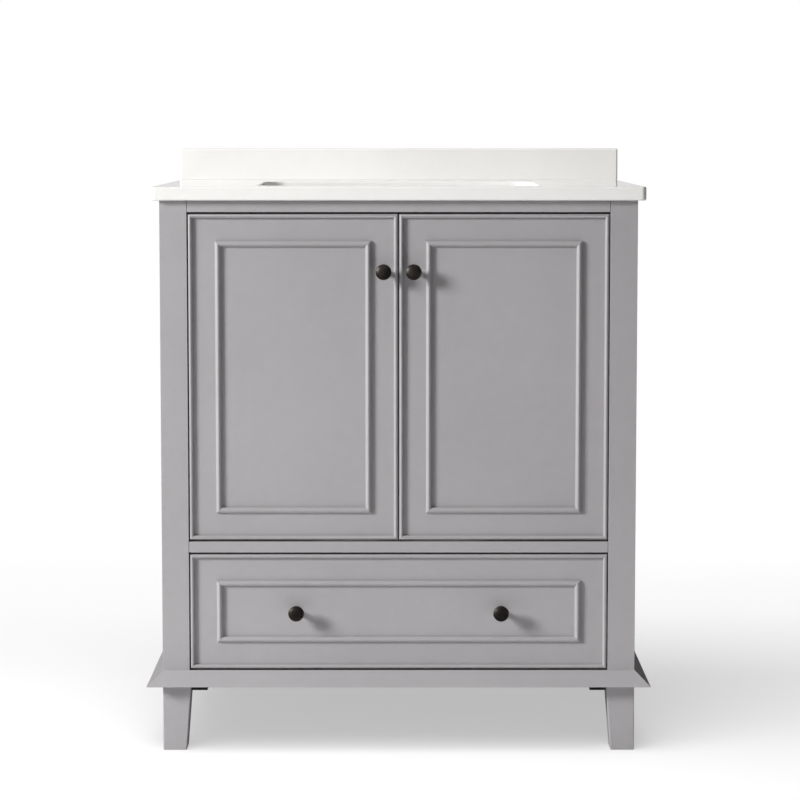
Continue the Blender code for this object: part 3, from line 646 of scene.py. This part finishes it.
def makeSink():
    low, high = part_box("sink_bowl")
    openLow, openHigh = sinkOpening()
    middle = (openLow + openHigh) / 2
    look = sinkLook
    floorZ = low.z + look["wall"] + look["fall"]
    bowlLow = (openLow.x, openLow.y, floorZ)
    piece = roundedBlock("sinkBowl", bowlLow, openHigh, topLook["sinkCorner"], look["cornerSegments"])
    width, length = openHigh.x - openLow.x, openHigh.y - openLow.y
    startEdit(piece)
    pick(piece, "faces", lambda face: face.normal.z > 0.9)
    bpy.ops.mesh.delete(type="FACE")
    pick(piece, "faces", lambda face: face.normal.z < -0.9)
    pin = (middle.x, middle.y, floorZ)
    narrow = (1 - 2 * look["slope"] / width, 1 - 2 * look["slope"] / length, 1)
    bpy.ops.transform.resize(value=narrow, center_override=pin)
    endEdit()
    bevelWhere(piece, lambda edge: all(vert.co.z < floorZ + near for vert in edge.verts),
               look["heel"], look["heelSegments"])
    startEdit(piece)
    pick(piece, "faces", lambda face: face.normal.z < -0.999 and face.calc_area() > 0.01)
    # the floor falls to the drain in rings
    reached, depth = 1.0, 0.0
    for share, sunk in look["falls"]:
        bpy.ops.mesh.extrude_region_move()
        bpy.ops.transform.resize(value=(share / reached, share / reached, 1), center_override=pin)
        bpy.ops.transform.translate(value=(0, 0, -look["fall"] * (sunk - depth)))
        reached, depth = share, sunk
    endEdit()
    startEdit(piece, "EDGE")
    pick(piece, "edges", lambda edge: edge.is_boundary and edgeMiddle(edge).z > high.z - near)
    lip = look["flange"]
    grow = (1 + 2 * lip / width, 1 + 2 * lip / length, 1)
    bpy.ops.mesh.extrude_region_move()
    bpy.ops.transform.resize(value=grow, center_override=(middle.x, middle.y, high.z))
    endEdit()
    mergeAndFaceOut(piece)
    faceBowlUp(piece, floorZ)
    useModifier(piece, "SOLIDIFY", thickness=look["wall"], offset=-1.0, use_even_offset=True)
    spot = Vector((middle.x, middle.y, floorZ - look["fall"]))
    for name, radius, depth in (("seatCutter", look["drain"] + look["seat"], 2 * look["seatDepth"]),
                                ("drainCutter", look["drain"], 4 * look["wall"])):
        cutWith(piece, cylinderAt(name, spot, radius, depth, "Z", look["drainVertices"]))
    bevelWhere(piece, lambda edge: onDrainRim(edge, spot), look["rimEase"], look["rimSegments"])
    softShade(piece, look["smooth"])
    finishPiece(piece, "cabinet", porcelain, ["sink_bowl"])


def onDrainRim(edge, spot):
    # the round edges of the drain hole and of its seat
    level = abs(edge.verts[0].co.z - edge.verts[1].co.z) < near
    arms = [(vert.co.xy - spot.xy).length for vert in edge.verts]
    onCircle = any(all(abs(arm - radius) < 10 * near for arm in arms)
                   for radius in (sinkLook["drain"], sinkLook["drain"] + sinkLook["seat"]))
    return level and onCircle and isSharp(edge)


def faceBowlUp(piece, floorZ):
    # the open shell's faces point into the bowl before it gets its thickness
    up = sum(face.normal.z * face.area for face in piece.data.polygons if face.center.z < floorZ + near)
    if up < 0:
        startEdit(piece)
        bpy.ops.mesh.select_all(action="SELECT")
        bpy.ops.mesh.flip_normals()
        endEdit()


leafLook = {
    "bead": 0.0065, "beadHeight": 0.006, "beadRound": 0.00315, "beadSegments": 6, "beadShape": 0.42,
    "backEase": 0.0007, "backSegments": 2, "smooth": 32,
    "cupHole": 0.0175, "cupDepth": 0.0115, "cutBeyond": 0.001, "holeVertices": 64,
}


def makeLeaf(name, node, body, finish, holes=()):
    # a slab with a raised bead round its face, and a round hole in its back for each hinge cup
    low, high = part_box(node)
    piece = cubeBetween(name, low, high)
    look = leafLook
    startEdit(piece)
    pick(piece, "faces", lambda face: face.normal.y < -0.9)
    bpy.ops.mesh.inset(thickness=look["bead"])
    bpy.ops.mesh.extrude_region_move(TRANSFORM_OT_translate={"value": (0, look["beadHeight"], 0)})
    endEdit()
    startEdit(piece, "EDGE")
    pick(piece, "edges", lambda edge: all(vert.co.y < low.y + near for vert in edge.verts) and isSquare(edge))
    bevelPicked(look["beadRound"], look["beadSegments"], look["beadShape"])
    pick(piece, "edges", lambda edge: all(vert.co.y > high.y - near for vert in edge.verts))
    bevelPicked(look["backEase"], look["backSegments"])
    endEdit()
    beyond = look["cutBeyond"]
    for spot in holes:
        middle = Vector((spot.x, high.y - look["cupDepth"] / 2 + beyond, spot.z))
        depth = look["cupDepth"] + 2 * beyond
        cutWith(piece, cylinderAt("cupCutter", middle, look["cupHole"], depth, "Y", look["holeVertices"]))
    softShade(piece, look["smooth"])
    finishPiece(piece, body, finish, [node])


def isSquare(edge):
    return runsAlong(edge, 0) or runsAlong(edge, 2)


mouldingLook = {"width": 0.009, "roundOver": 0.0043, "segments": 8, "shape": 0.42, "smooth": 32,
                "mitreGap": 0.00006, "sink": 0.0002}


def makeMoulding(name, node, body):
    # four mitred strips, each a rounded bead
    low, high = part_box(node)
    look = mouldingLook
    half = math.sqrt(0.5)
    middle = (low + high) / 2
    reach = (high - low) / 2
    for end, axis, sign in (("Top", 2, 1), ("Base", 2, -1), ("Left", 0, -1), ("Right", 0, 1)):
        stripLow, stripHigh = low.copy(), high.copy()
        if sign > 0:
            stripLow[axis] = high[axis] - look["width"]
        else:
            stripHigh[axis] = low[axis] + look["width"]
        stripHigh.y += look["sink"]  # down onto the field
        piece = cubeBetween(f"{name}{end}", stripLow, stripHigh)
        along = 2 - axis
        startEdit(piece, "EDGE")
        pick(piece, "edges", lambda edge: runsAlong(edge, along) and edgeMiddle(edge).y < low.y + near)
        bevelPicked(look["roundOver"], look["segments"], look["shape"])
        for way in (-1, 1):
            corner = middle.copy()
            corner[axis] += sign * reach[axis]
            corner[along] += way * (reach[along] - look["mitreGap"])
            plane = Vector((0, 0, 0))
            plane[along] = way * half
            plane[axis] = -sign * half
            bpy.ops.mesh.select_all(action="SELECT")
            bpy.ops.mesh.bisect(plane_co=corner, plane_no=plane, clear_outer=True, use_fill=True)
        endEdit()
        softShade(piece, look["smooth"])
        finishPiece(piece, body, paint["x" if along == 0 else "z"], [node])


knobLook = {
    # distance out from the door, radius
    "rings": ((0.0, 8.3), (0.9, 8.4), (1.5, 8.0), (2.4, 6.4), (3.6, 5.2), (5.5, 4.7), (9.0, 4.5), (13.0, 4.8),
              (16.0, 6.0), (18.2, 8.3), (19.6, 10.4), (20.6, 11.7), (21.7, 12.5), (22.8, 12.7), (24.0, 12.6),
              (25.0, 12.2), (25.7, 11.6), (26.0, 11.0), (26.05, 10.7), (25.7, 10.4), (25.65, 10.15),
              (26.1, 9.9), (26.7, 8.2), (27.2, 6.0), (27.55, 3.6), (27.7, 1.4)),
    "vertices": 64, "smooth": 45,
}


def centreAt(node, y):
    # the middle of a piece's box, brought to another depth
    low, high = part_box(node)
    return Vector(((low.x + high.x) / 2, y, (low.z + high.z) / 2))


def turnedPiece(name, base, outward, rings, vertices):
    # rings of (distance, radius) in millimetres, run out from the base by extruding and resizing
    clearSelection()
    turn = outward.to_track_quat("Z", "Y").to_euler()
    start = base + outward * rings[0][0] / 1000
    bpy.ops.mesh.primitive_circle_add(
        vertices=vertices, radius=rings[0][1] / 1000, fill_type="NGON", location=start, rotation=turn)
    piece = nameIt(name)
    bakePlace()
    bpy.ops.object.mode_set(mode="EDIT")
    bpy.ops.mesh.select_mode(type="FACE")
    bpy.ops.mesh.select_all(action="SELECT")
    for (before, was), (after, radius) in zip(rings, rings[1:]):
        step = outward * (after - before) / 1000
        bpy.ops.mesh.extrude_region_move(TRANSFORM_OT_translate={"value": step})
        scale = radius / was
        bpy.ops.transform.resize(value=(scale, scale, scale), center_override=base + outward * after / 1000)
    endEdit()
    mergeAndFaceOut(piece)
    return piece


def makeKnobs():
    for node, body in (("left_door_knob", "left_door"), ("right_door_knob", "right_door"),
                       ("left_drawer_knob", "drawer"), ("right_drawer_knob", "drawer")):
        base = centreAt(node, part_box(node)[1].y)
        look = knobLook
        piece = turnedPiece(camelName(node), base, Vector((0, -1, 0)), look["rings"], look["vertices"])
        softShade(piece, look["smooth"])
        finishPiece(piece, body, bronze, [node])


screwLook = {
    # distance out from the surface, radius, for a head of 4 mm radius
    "rings": ((0.0, 3.9), (0.35, 4.0), (0.9, 3.85), (1.5, 3.3), (1.95, 2.4), (2.2, 1.3), (2.28, 0.4)),
    "vertices": 24, "slot": 0.00075, "slotLength": 0.0046, "slotDepth": 0.0012, "headRadius": 0.004,
    "smooth": 40, "twist": 0.7,
}


def makeScrewHead():
    # a domed head with a cross recess, at the origin and pointing up, which every screw is copied from
    look = screwLook
    head = turnedPiece("screwHead", Vector((0, 0, 0)), Vector((0, 0, 1)), look["rings"], look["vertices"])
    top = look["rings"][-1][0] / 1000
    for wide, long in ((look["slot"], look["slotLength"]), (look["slotLength"], look["slot"])):
        low = (-wide / 2, -long / 2, top - look["slotDepth"])
        cutWith(head, cubeBetween("screwSlot", low, (wide / 2, long / 2, top + look["slotDepth"])))
    softShade(head, look["smooth"])
    return head


def placeScrews(name, head, body, spots, outward, radius=screwLook["headRadius"],
                twist=screwLook["twist"]):
    # copies of the head, each turned a little further than the one before, joined as one set
    made = []
    size = radius / screwLook["headRadius"]
    for count, spot in enumerate(spots):
        mesh = head.data.copy()
        turn = outward.to_track_quat("Z", "Y").to_matrix().to_4x4()
        spin = Matrix.Rotation(twist * (count + 1), 4, "Z")
        mesh.transform(Matrix.Translation(spot) @ turn @ spin @ Matrix.Scale(size, 4))
        screw = bpy.data.objects.new(f"{name}{count}", mesh)
        scene.collection.objects.link(screw)
        made.append(screw)
    finishPiece(joinAll(name, made), body, screwSteel)


def joinAll(name, pieces):
    selectOnly(*pieces)
    bpy.ops.object.join()
    return nameIt(name)


earLook = {"near": 0.0175, "far": 0.029, "half": 0.0068, "lift": 0.0003, "thick": 0.001,
           "corner": 0.0048, "segments": 6, "screw": 0.0238, "screwRadius": 0.0033}


def addEars(cup, spot, backY):
    # the two ears that the cup's flange is screwed down by, above and below it
    look = earLook
    for way in (-1, 1):
        zs = sorted((spot.z + way * look["near"], spot.z + way * look["far"]))
        low = (spot.x - look["half"], backY + look["lift"], zs[0])
        high = (spot.x + look["half"], backY + look["lift"] + look["thick"], zs[1])
        ear = cubeBetween("cupEar", low, high)
        outer = spot.z + way * look["far"]
        bevelWhere(ear, lambda edge: runsAlong(edge, 1) and abs(edgeMiddle(edge).z - outer) < near,
                   look["corner"], look["segments"])
        useModifier(cup, "BOOLEAN", operation="UNION", solver="EXACT", object=ear)
        bpy.data.objects.remove(ear)


wingLook = {
    "thick": 0.0018, "lift": 0.00005, "near": 0.0074, "far": 0.021, "length": 0.019, "fromEnd": 0.013,
    "corner": 0.005, "segments": 6, "smooth": 30, "armDepth": 0.008, "wingScrew": 0.0035,
    "armScrew": 0.0032, "armScrewsFromEnd": (0.008, 0.026), "armTwist": 1.1,
}


def makeHingeWings(side, sign, level, head):
    # the mounting plate's wings on the cleat, above and below the arm, each held by a screw
    look = wingLook
    low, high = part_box(f"{side}_{level}_hinge_arm")
    face = low.x if sign < 0 else high.x
    middleZ = (low.z + high.z) / 2
    made, spots = [], []
    for way in (-1, 1):
        xs = sorted((face - sign * look["lift"], face - sign * (look["lift"] + look["thick"])))
        zs = sorted((middleZ + way * look["near"], middleZ + way * look["far"]))
        back = high.y - look["fromEnd"]
        wing = cubeBetween("wing", (xs[0], back - look["length"], zs[0]), (xs[1], back, zs[1]))
        outer = middleZ + way * look["far"]
        bevelWhere(wing, lambda edge: runsAlong(edge, 0) and abs(edgeMiddle(edge).z - outer) < near,
                   look["corner"], look["segments"])
        made.append(wing)
        top = face - sign * (look["lift"] + look["thick"])
        spots.append(Vector((top, back - look["length"] / 2, (zs[0] + zs[1]) / 2)))
    name = f"{side}{level.capitalize()}Hinge"
    wings = joinAll(f"{name}Wings", made)
    softShade(wings, look["smooth"])
    finishPiece(wings, "cabinet", hingeSteel)
    inward = Vector((-sign, 0, 0))
    placeScrews(f"{name}WingScrews", head, "cabinet", spots, inward, look["wingScrew"])
    armFace = face - sign * look["armDepth"]
    spots = [Vector((armFace, high.y - step, middleZ)) for step in look["armScrewsFromEnd"]]
    placeScrews(f"{name}ArmScrews", head, "cabinet", spots, inward,
                look["armScrew"], look["armTwist"])


cupLook = {
    # distance back from the door's back face, radius
    "rings": ((-10.2, 0.6), (-10.2, 13.6), (-10.0, 15.0), (-9.2, 15.9), (-8.2, 16.0), (0.6, 16.0),
              (1.1, 16.3), (1.3, 16.8), (1.3, 19.3), (1.15, 19.8), (0.8, 20.0), (0.3, 20.0), (0.3, 17.2),
              (-10.6, 17.2), (-11.2, 16.6), (-11.2, 0.6)),
    "vertices": 64, "smooth": 40,
}


def cupSpots(side):
    spots = []
    for level in ("upper", "lower"):
        low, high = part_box(f"{side}_{level}_hinge_cup")
        spots.append((level, (low + high) / 2))
    return spots


def makeDoors(head):
    for side, sign in sides:
        body = f"{side}_door"
        spots = cupSpots(side)
        holes = [spot for level, spot in spots]
        makeLeaf(f"{side}DoorPanel", f"{side}_door_panel", body, paint["z"], holes)
        makeMoulding(f"{side}DoorMoulding", f"{side}_door_moulding", body)
        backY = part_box(f"{side}_door_panel")[1].y
        for level, spot in spots:
            base = Vector((spot.x, backY, spot.z))
            name = f"{side}{level.capitalize()}HingeCup"
            piece = turnedPiece(name, base, toBack, cupLook["rings"], cupLook["vertices"])
            addEars(piece, spot, backY)
            softShade(piece, cupLook["smooth"])
            finishPiece(piece, body, hingeSteel, [f"{side}_{level}_hinge_cup"])
            earY = backY + earLook["lift"] + earLook["thick"]
            screws = [Vector((spot.x, earY, spot.z + way * earLook["screw"])) for way in (-1, 1)]
            placeScrews(f"{name}Screws", head, body, screws, toBack,
                        earLook["screwRadius"])
            makeHingeWings(side, sign, level, head)
        spot = centreAt(f"{side}_door_knob", backY)
        placeScrews(f"{side}DoorKnobScrew", head, body, [spot], toBack)
    makeLeaf("drawerFrontPanel", "drawer_front_panel", "drawer", paint["x"])
    makeMoulding("drawerFrontMoulding", "drawer_front_moulding", "drawer")


drawerLook = {"ease": 0.0014, "bottomEase": 0.0004, "segments": 3}


def makeDrawerBox():
    for node, finish in (("drawer_left_side", birchY), ("drawer_right_side", birchY), ("drawer_back", birchX),
                         ("drawer_inner_front", birchX), ("drawer_bottom", birchX)):
        low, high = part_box(node)
        ease = drawerLook["bottomEase" if node == "drawer_bottom" else "ease"]
        piece = easedBoard(camelName(node), low, high, ease, drawerLook["segments"])
        finishPiece(piece, "drawer", finish, [node])


backLook = {
    "ease": 0.0008, "cutCorner": 0.004, "cutSegments": 5, "cutBeyond": Vector((0.006, 0.01, 0.008)),
    "inset": 0.012, "radius": 0.0035, "across": 5, "up": 5, "sunk": 0.0022,
    "recess": 0.0045, "recessVertices": 24, "smooth": 30,
}


def makeBackPanel(head):
    # the plywood back, its two plumbing cut-outs, and a recess round each of its screws
    look = backLook
    low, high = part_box("back_panel")
    piece = easedBoard("backPanel", low, high, look["ease"])
    for opening in frame["record"]["physics"]["openings"]:
        if "plumbing_cut_out" in opening["name"]:
            # the record's box is what has to stay clear, and the cut-out is a little larger
            holeLow, holeHigh = [Vector(corner) for corner in opening["box_m"]]
            beyond = look["cutBeyond"]
            cutter = cubeBetween("plumbingCutter", holeLow - beyond, holeHigh + beyond)
            bevelWhere(cutter, lambda edge: runsAlong(edge, 1), look["cutCorner"], look["cutSegments"])
            cutWith(piece, cutter)
    across, tall = high.x - low.x - 2 * look["inset"], high.z - low.z - 2 * look["inset"]
    startX, startZ = low.x + look["inset"], low.z + look["inset"]
    rowsZ = [startZ + tall * step / (look["up"] - 1) for step in range(look["up"])]
    columnsX = [startX + across * step / (look["across"] - 1) for step in range(look["across"])]
    spots = [Vector((x, high.y - look["sunk"], z)) for x in columnsX for z in rowsZ
             if x in (columnsX[0], columnsX[-1]) or z in (rowsZ[0], rowsZ[-1])]
    for spot in spots:
        middle = spot + Vector((0, look["sunk"], 0))
        depth = 2 * look["sunk"]
        cutWith(piece, cylinderAt("recessCutter", middle, look["recess"], depth, "Y", look["recessVertices"]))
    softShade(piece, look["smooth"])
    finishPiece(piece, "cabinet", plyZ, ["back_panel"])
    placeScrews("backPanelScrews", head, "cabinet", spots, toBack, look["radius"])


fixingLook = {"inset": 0.012, "drawerEnd": 0.05, "drawerBase": 0.03, "drawerTop": 0.025,
              "drawerScrew": 0.0045}


def makeFixings(head):
    # screws in the leg blocks, and through the drawer's inner front
    look = fixingLook
    down = Vector((0, 0, -1))
    for side, sign in sides:
        for end, back in ends:
            low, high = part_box(f"{end}_{side}_leg_block")
            innerX = low.x if sign > 0 else high.x
            innerY = low.y if back > 0 else high.y
            outerX = high.x if sign > 0 else low.x
            outerY = high.y if back > 0 else low.y
            inX, inY = innerX + sign * look["inset"], innerY + back * look["inset"]
            spots = [Vector((inX, outerY - back * look["inset"], low.z)), Vector((inX, inY, low.z)),
                     Vector((outerX - sign * look["inset"], inY, low.z))]
            name = f"{end}{side.capitalize()}BlockScrews"
            placeScrews(name, head, "cabinet", spots, down)
    low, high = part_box("drawer_inner_front")
    spots = [Vector((x, high.y, z)) for x in (low.x + look["drawerEnd"], high.x - look["drawerEnd"])
             for z in (low.z + look["drawerBase"], high.z - look["drawerTop"])]
    spots += [centreAt(f"{side}_drawer_knob", high.y) for side, sign in sides]
    placeScrews("drawerFrontScrews", head, "drawer", spots, toBack,
                look["drawerScrew"])


keepCadPieces()
makeFaceFrame()
makeSkirt()
makeLegs()
print("stage: casework made")
makeCountertop()
makeBacksplash()
makeSink()
print("stage: top and sink made")
screwHead = makeScrewHead()
makeDoors(screwHead)
makeKnobs()
makeDrawerBox()
makeBackPanel(screwHead)
makeFixings(screwHead)
bpy.data.objects.remove(screwHead)
print("stage: doors, drawer and knobs made")


studioLook = {
    "floor": 0.9, "drift": 0.99, "radius": 14.0, "vertices": 96, "tall": 12.0, "sunk": 1.0,
    "aim": 0.5, "sideStart": 1.6, "reach": 4.0, "lift": 0.0004,
    # how far behind the cabinet, and how much of the painted white glow covers the floor there, which paints
    # the floor's shadows lighter
    "haze": ((0.3, 0.48), (0.9, 0.86), (1.6, 1.0)),
    "keyPower": 348.0, "keyAzimuth": 62.0, "keyRise": 22.0, "keyDistance": 5.0, "keySize": 1.2,
    "groundPower": 108.0, "groundAzimuth": 30.0, "groundRise": 60.0, "groundDistance": 2.8,
    "groundSize": 2.8,
    "cardPower": 8.5, "cardPlace": (0.0, 4.5, 1.35), "cardWide": 3.0, "cardTall": 1.3,
    "topPower": 39.0, "topSize": 3.4, "topHeight": 3.6, "topBack": 0.2, "sky": 0.03,
}


def roundSheet(name, height):
    clearSelection()
    look = studioLook
    bpy.ops.mesh.primitive_circle_add(
        vertices=look["vertices"], radius=look["radius"], fill_type="NGON", location=(0, 0, height))
    piece = nameIt(name)
    bakePlace()
    return piece


def seenOnly(piece):
    # a thing that the camera sees, and that neither lights nor shades anything
    piece.visible_diffuse = piece.visible_glossy = False
    piece.visible_transmission = piece.visible_shadow = False


def glowWhite(finish):
    return finish.make("ShaderNodeEmission", {}, {"Color": (1, 1, 1, 1), "Strength": 1.0})["Emission"]


def makeFloor():
    # matt white paper
    look = studioLook
    floor = roundSheet("studioFloor", 0)
    finish = Finish("studioPaper")
    low, high = look["floor"] * look["drift"], look["floor"]
    tone = finish.blend(finish.noise(finish.place, 0.7, 2.0), (low, low, low), (high, high, high))
    floor.data.materials.append(finish.close(Base_Color=tone, Roughness=0.9, Specular_IOR_Level=0.1))
    floor.visible_glossy = False


def makeFloorGlow():
    # a camera-only white glow over the floor that thickens with distance: painted light, so the floor has no
    # edge and its shadows are painted lighter
    look = studioLook
    sheet = roundSheet("studioHaze", look["lift"])
    finish = Finish("studioHazeWhite")
    apart = finish.make("ShaderNodeVectorMath", {"operation": "LENGTH"}, {0: finish.place})["Value"]
    behind = finish.make("ShaderNodeSeparateXYZ", {}, {"Vector": finish.place})["Y"]
    inputs = {0: behind, 1: apart - look["sideStart"]}
    farther = finish.make("ShaderNodeMath", {"operation": "MAXIMUM"}, inputs)["Value"]
    stops = [(spot / look["reach"], (share, share, share)) for spot, share in look["haze"]]
    thick = finish.ramp(farther * (1 / look["reach"]), stops)
    clear = finish.make("ShaderNodeBsdfTransparent")["BSDF"]
    # painted light: near the cabinet about half of the floor is covered by white glow, which paints its
    # shadow lighter
    mixed = finish.make("ShaderNodeMixShader", {}, {0: thick, 1: clear, 2: glowWhite(finish)})["Shader"]
    finish.make("ShaderNodeOutputMaterial", {}, {"Surface": mixed})
    sheet.data.materials.append(finish.material)
    seenOnly(sheet)


def makeSurround():
    # a white ring round the studio
    look = studioLook
    middle = (0, 0, look["tall"] / 2 - look["sunk"])
    ring = cylinderAt("studioSurround", middle, look["radius"], look["tall"], vertices=look["vertices"])
    startEdit(ring)
    pick(ring, "faces", lambda face: abs(face.normal.z) > 0.9)
    bpy.ops.mesh.delete(type="FACE")
    endEdit()
    finish = Finish("studioSurroundWhite")
    finish.make("ShaderNodeOutputMaterial", {}, {"Surface": glowWhite(finish)})
    ring.data.materials.append(finish.material)
    seenOnly(ring)


def softbox(name, place, target, width, height, power):
    light = bpy.data.lights.new(name, "AREA")
    light.shape = "RECTANGLE"
    light.size, light.size_y = width, height
    light.energy = power
    lamp = bpy.data.objects.new(name, light)
    lamp.location = place
    lamp.rotation_euler = (Vector(target) - Vector(place)).to_track_quat("-Z", "Y").to_euler()
    lamp.visible_camera = False
    scene.collection.objects.link(lamp)
    return lamp


def linkPaper(lamp, state):
    # EXCLUDE keeps a lamp off the paper, and INCLUDE lights nothing else
    paper = bpy.data.collections.new(f"{lamp.name}Paper")
    paper.objects.link(bpy.data.objects["studioFloor"])
    for item in paper.collection_objects:
        item.light_linking.link_state = state
    lamp.light_linking.receiver_collection = paper


def awayFrom(target, azimuth, rise, distance):
    azimuth, rise = math.radians(azimuth), math.radians(rise)
    level = math.cos(rise)
    way = Vector((-math.sin(azimuth) * level, -math.cos(azimuth) * level, math.sin(rise)))
    return target + distance * way


def makeLights():
    look = studioLook
    target = Vector((0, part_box("top_rail")[0].y, look["aim"]))
    place = awayFrom(target, look["keyAzimuth"], look["keyRise"], look["keyDistance"])
    key = softbox("keyBox", place, target, look["keySize"], look["keySize"], look["keyPower"])
    # the low key models the cabinet and throws no long shadow, and the paper has a lamp of its own
    linkPaper(key, "EXCLUDE")
    above = Vector((0, look["topBack"], 0))
    topPlace = above + Vector((0, 0, look["topHeight"]))
    softbox("topBox", topPlace, above, look["topSize"], look["topSize"], look["topPower"])
    # a low card behind, which only shows as the shine along the polished top
    cardPlace = Vector(look["cardPlace"])
    ahead = cardPlace - toBack
    card = softbox("cardBox", cardPlace, ahead, look["cardWide"], look["cardTall"], look["cardPower"])
    card.visible_diffuse = False
    ground = Vector((0, 0, 0))
    place = awayFrom(ground, look["groundAzimuth"], look["groundRise"], look["groundDistance"])
    lamp = softbox("groundBox", place, ground, look["groundSize"], look["groundSize"], look["groundPower"])
    linkPaper(lamp, "INCLUDE")
    world = bpy.data.worlds.new("studioAir")
    world.use_nodes = True
    air = world.node_tree.nodes["Background"]
    air.inputs["Color"].default_value = (1, 1, 1, 1)
    air.inputs["Strength"].default_value = look["sky"]
    scene.world = world
    scene.view_settings.view_transform = "Standard"


cameraLook = {"height": 1.003, "distance": 3.987, "lens": 112.7, "sensor": 36, "pitch": 4.915, "yaw": 0.032,
              "shift": -0.07}


def makeCamera():
    look = cameraLook
    data = bpy.data.cameras.new("camera")
    data.lens = look["lens"]
    data.sensor_width = look["sensor"]
    data.shift_y = look["shift"]
    camera = bpy.data.objects.new("camera", data)
    camera.location = (0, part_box("top_rail")[0].y - look["distance"], look["height"])
    camera.rotation_euler = (math.radians(90 - look["pitch"]), 0, -math.radians(look["yaw"]))
    scene.collection.objects.link(camera)
    scene.camera = camera


makeFloor()
makeFloorGlow()
makeSurround()
makeLights()
makeCamera()
print("stage: studio ready")
